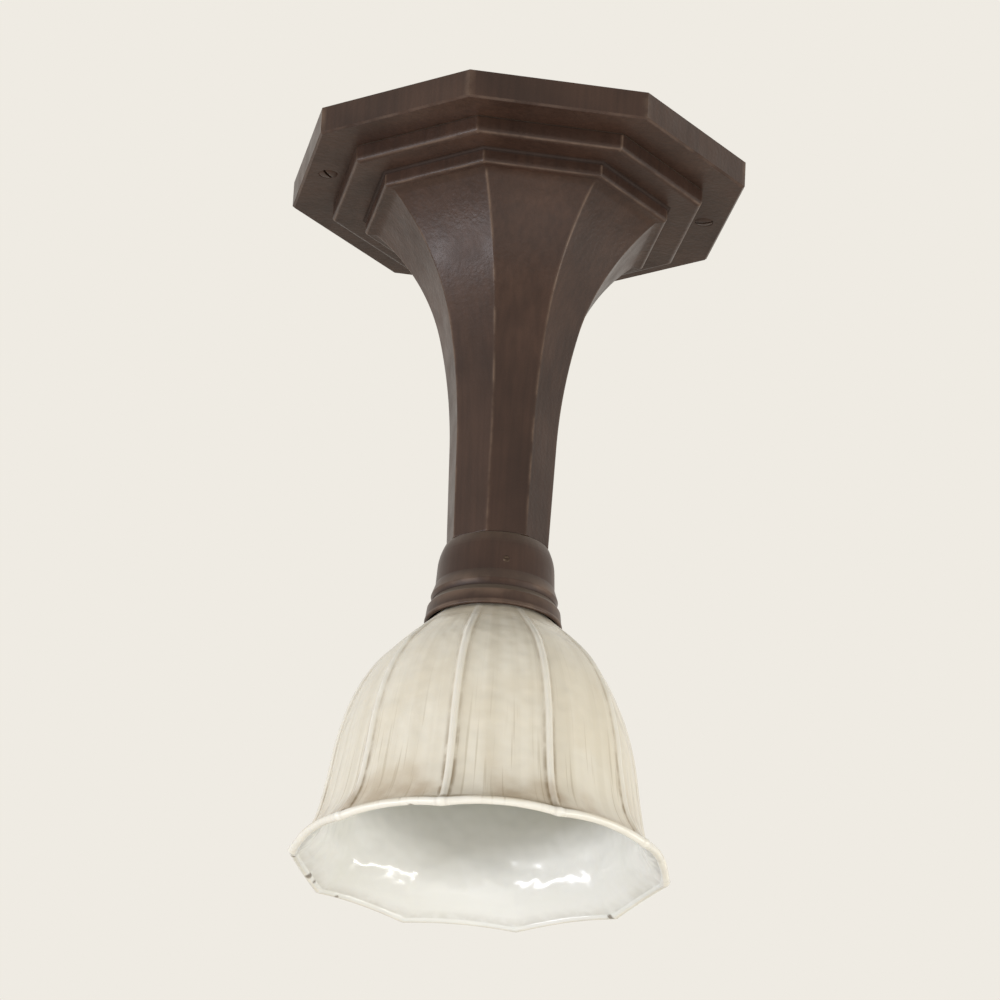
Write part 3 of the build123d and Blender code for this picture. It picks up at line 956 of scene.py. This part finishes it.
# Grime lies in the corners beside the ribs and above the bead, and most where the two meet; painted shade
# just under the holder joins it in the same brown
for result, operation, *taken in (
        ("hair line", "MULTIPLY", "fine lines", "fine lines low down"),
        ("wiped rib", "MULTIPLY", "on a rib", 0.55),
        ("rib corner", "MULTIPLY", "off the rib", "close to the rib"),
        ("rib corner low down", "MULTIPLY", "rib corner", "low down"),
        ("beside ribs", "MULTIPLY", "rib corner low down", "rib soot"),
        ("rim corner", "MULTIPLY", "bead_corner", "near the rib"),
        ("above rim", "MULTIPLY", "rim corner", "rim soot"),
        ("in the corners", "MAXIMUM", "beside ribs", "above rim"),
        ("grime", "MAXIMUM", "in the corners", "painted shade under the holder"),
        ("cloudy", "MULTIPLY", "smoke clouds", "smoke grain"),
        ("cloudy above the bead", "MULTIPLY", "cloudy", "above the bead"),
        ("smoke", "MULTIPLY", "towards the rim", "cloudy above the bead"),
        ("clean bead", "MULTIPLY", "on the bead", 0.8),
        ("inner corner", "MULTIPLY", "bead_corner", "inner soot"),
        ("chip", "MULTIPLY", "chipped", 0.8),
        ("grime's roughness", "MULTIPLY", "grime", 0.35),
        ("outer roughness", "ADD", 0.1, "grime's roughness"),
        ("outer face", "SUBTRACT", 1.0, "inner_face"),
        ("added roughness", "MULTIPLY", "outer face", "outer roughness"),
        ("roughness", "ADD", "added roughness", 0.15)):
    read[result] = add(opal_tree, "ShaderNodeMath", {"operation": operation}, {
        i: read.get(value, value) for i, value in enumerate(taken)})
# Outside, smoke left warm brown clouds a few fingers wide above the rim, and the bead was
# fire-polished, so it stays clean. Inside the glass stays white, with painted greenish-grey shade towards the
# top
faces = []
for base, layers in (
        ("#e8e2d3", (
            ("milky streaks", "#dfd8c7"), ("yellowed", "#ded4be"), ("hair line", "#b0a286"),
            ("wiped rib", "#f0ede4"), ("smoke", "#aa9170"), ("grime", "#8a775b"), ("clean bead", "#efece3"))),
        ("#e6e6e2", (("painted shade high inside", "#a9ac9d"), ("inner clouds", "#dcdcd2"), ("inner corner", "#a39c8c")))):
    face = colour(base)
    for share, code in layers:
        face = add(opal_tree, "ShaderNodeMix", {"data_type": "RGBA"}, {
            "Factor": read[share], 6: face, 7: colour(code)})
    faces.append(face)
outer, inner = faces
whole = add(opal_tree, "ShaderNodeMix", {"data_type": "RGBA"}, {
    "Factor": read["inner_face"], 6: outer, 7: inner})
glass = add(opal_tree, "ShaderNodeMix", {"data_type": "RGBA"}, {
    "Factor": read["chip"], 6: whole, 7: colour("#655747")})
mould_skin = add(opal_tree, "ShaderNodeBump", {}, {
    "Height": read["streaks"], "Strength": 0.35, "Distance": 0.4 * MM})
blown_skin = add(opal_tree, "ShaderNodeBump", {}, {
    "Height": read["waves"], "Strength": 0.8, "Distance": 1.7 * MM, "Normal": mould_skin})
shader = add(opal_tree, "ShaderNodeBsdfPrincipled", {}, {
    "Base Color": glass, "Roughness": read["roughness"], "Normal": blown_skin, "IOR": 1.5,
    "Subsurface Weight": 0.12, "Subsurface Radius": (0.9, 0.8, 0.65), "Subsurface Scale": 6 * MM})
add(opal_tree, "ShaderNodeOutputMaterial", {}, {"Surface": shader})
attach(bell, "root")
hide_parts("shade")


# Studio
# A pale floor below the lamp and a pale world round it. Two broad soft lights stand at its sides
# like daylight, and a third fills from low down on the camera's side.
hanging_height = 1.57
floor_reach = 9.0
floor_glow = 0.47
pale = colour("#efebe3")

ground = bpy.data.meshes.new("studio_floor")
corners = [(x * floor_reach, y * floor_reach, -hanging_height)
           for x, y in ((-1, -1), (1, -1), (1, 1), (-1, 1))]
ground.from_pydata(corners, [], [(0, 1, 2, 3)])
studio_floor = in_scene("studio_floor", ground)
matt, tree = bare_finish("matt_studio_floor")
seen = add(tree, "ShaderNodeLightPath").outputs["Is Camera Ray"]
glowing = add(tree, "ShaderNodeMath", {"operation": "MULTIPLY"}, {0: seen, 1: floor_glow})
shader = add(tree, "ShaderNodeBsdfPrincipled", {}, {
    "Base Color": pale, "Roughness": 0.9, "Emission Color": pale, "Emission Strength": glowing})
# Seen from underneath the floor is clear, so that the lamp can be looked at from straight below
backs = add(tree, "ShaderNodeNewGeometry").outputs["Backfacing"]
from_below = add(tree, "ShaderNodeMath", {"operation": "MULTIPLY"}, {0: seen, 1: backs})
clear = add(tree, "ShaderNodeMixShader", {}, {
    0: from_below, 1: shader, 2: add(tree, "ShaderNodeBsdfTransparent")})
add(tree, "ShaderNodeOutputMaterial", {}, {"Surface": clear})
ground.materials.append(matt)

world = bpy.data.worlds.new("studio_world")
bpy.context.scene.world = world
world.use_nodes = True
tree = world.node_tree
tree.nodes.clear()
rays = add(tree, "ShaderNodeLightPath")
seen_or_mirrored = add(tree, "ShaderNodeMath", {"operation": "MAXIMUM"}, {
    0: rays.outputs["Is Camera Ray"], 1: rays.outputs["Is Glossy Ray"]})
shown = add(tree, "ShaderNodeMath", {"operation": "MAXIMUM"}, {
    0: seen_or_mirrored, 1: rays.outputs["Is Transmission Ray"]})
glow = add(tree, "ShaderNodeBackground", {}, {"Color": colour("#f4f1ea"), "Strength": 0.55})
wall = add(tree, "ShaderNodeBackground", {}, {"Color": pale, "Strength": 1.0})
mixed = add(tree, "ShaderNodeMixShader", {}, {0: shown, 1: glow, 2: wall})
add(tree, "ShaderNodeOutputWorld", {}, {"Surface": mixed})


def soft_light(name, spot, aim, width, depth, power, tint):
    """A large oval lamp at a spot in metres, facing an aim."""
    lamp = bpy.data.lights.new(name, "AREA")
    lamp.shape = "ELLIPSE"
    lamp.size = width
    lamp.size_y = depth
    lamp.energy = power
    lamp.color = colour(tint)[:3]
    stand = in_scene(name, lamp)
    stand.location = spot
    stand.rotation_euler = (Vector(aim) - Vector(spot)).to_track_quat("-Z", "Y").to_euler()


lamp_middle = (0.0, 0.0, -0.21)
soft_light("left_daylight", (-1.5, -0.7, -0.8), lamp_middle, width=1.7, depth=0.2, power=17.5,
           tint="#f6f8ff")
soft_light("right_daylight", (1.5, -0.8, -0.85), lamp_middle, width=1.7, depth=0.2, power=14,
           tint="#fffdf9")
soft_light("low_front_fill", (0.3, -1.3, -1.45), lamp_middle, width=2.4, depth=1.4, power=8.5,
           tint="#ffffff")

# The photograph's own viewpoint, at floor level and to one side, with a long lens
view_spot = Vector((-0.538, -3.230, -1.570))
view_aim = Vector((0.0, 0.0, -0.2))
view_roll = math.radians(3.2)
eye = bpy.data.cameras.new("camera")
eye.sensor_width = 36.0
eye.lens = 232.0
camera = in_scene("camera", eye)
sight = (view_aim - view_spot).to_track_quat("-Z", "Y").to_matrix().to_4x4()
camera.matrix_world = Matrix.Translation(view_spot) @ sight @ Matrix.Rotation(view_roll, 4, "Z")
bpy.context.scene.camera = camera
bpy.context.scene.view_settings.view_transform = "Standard"
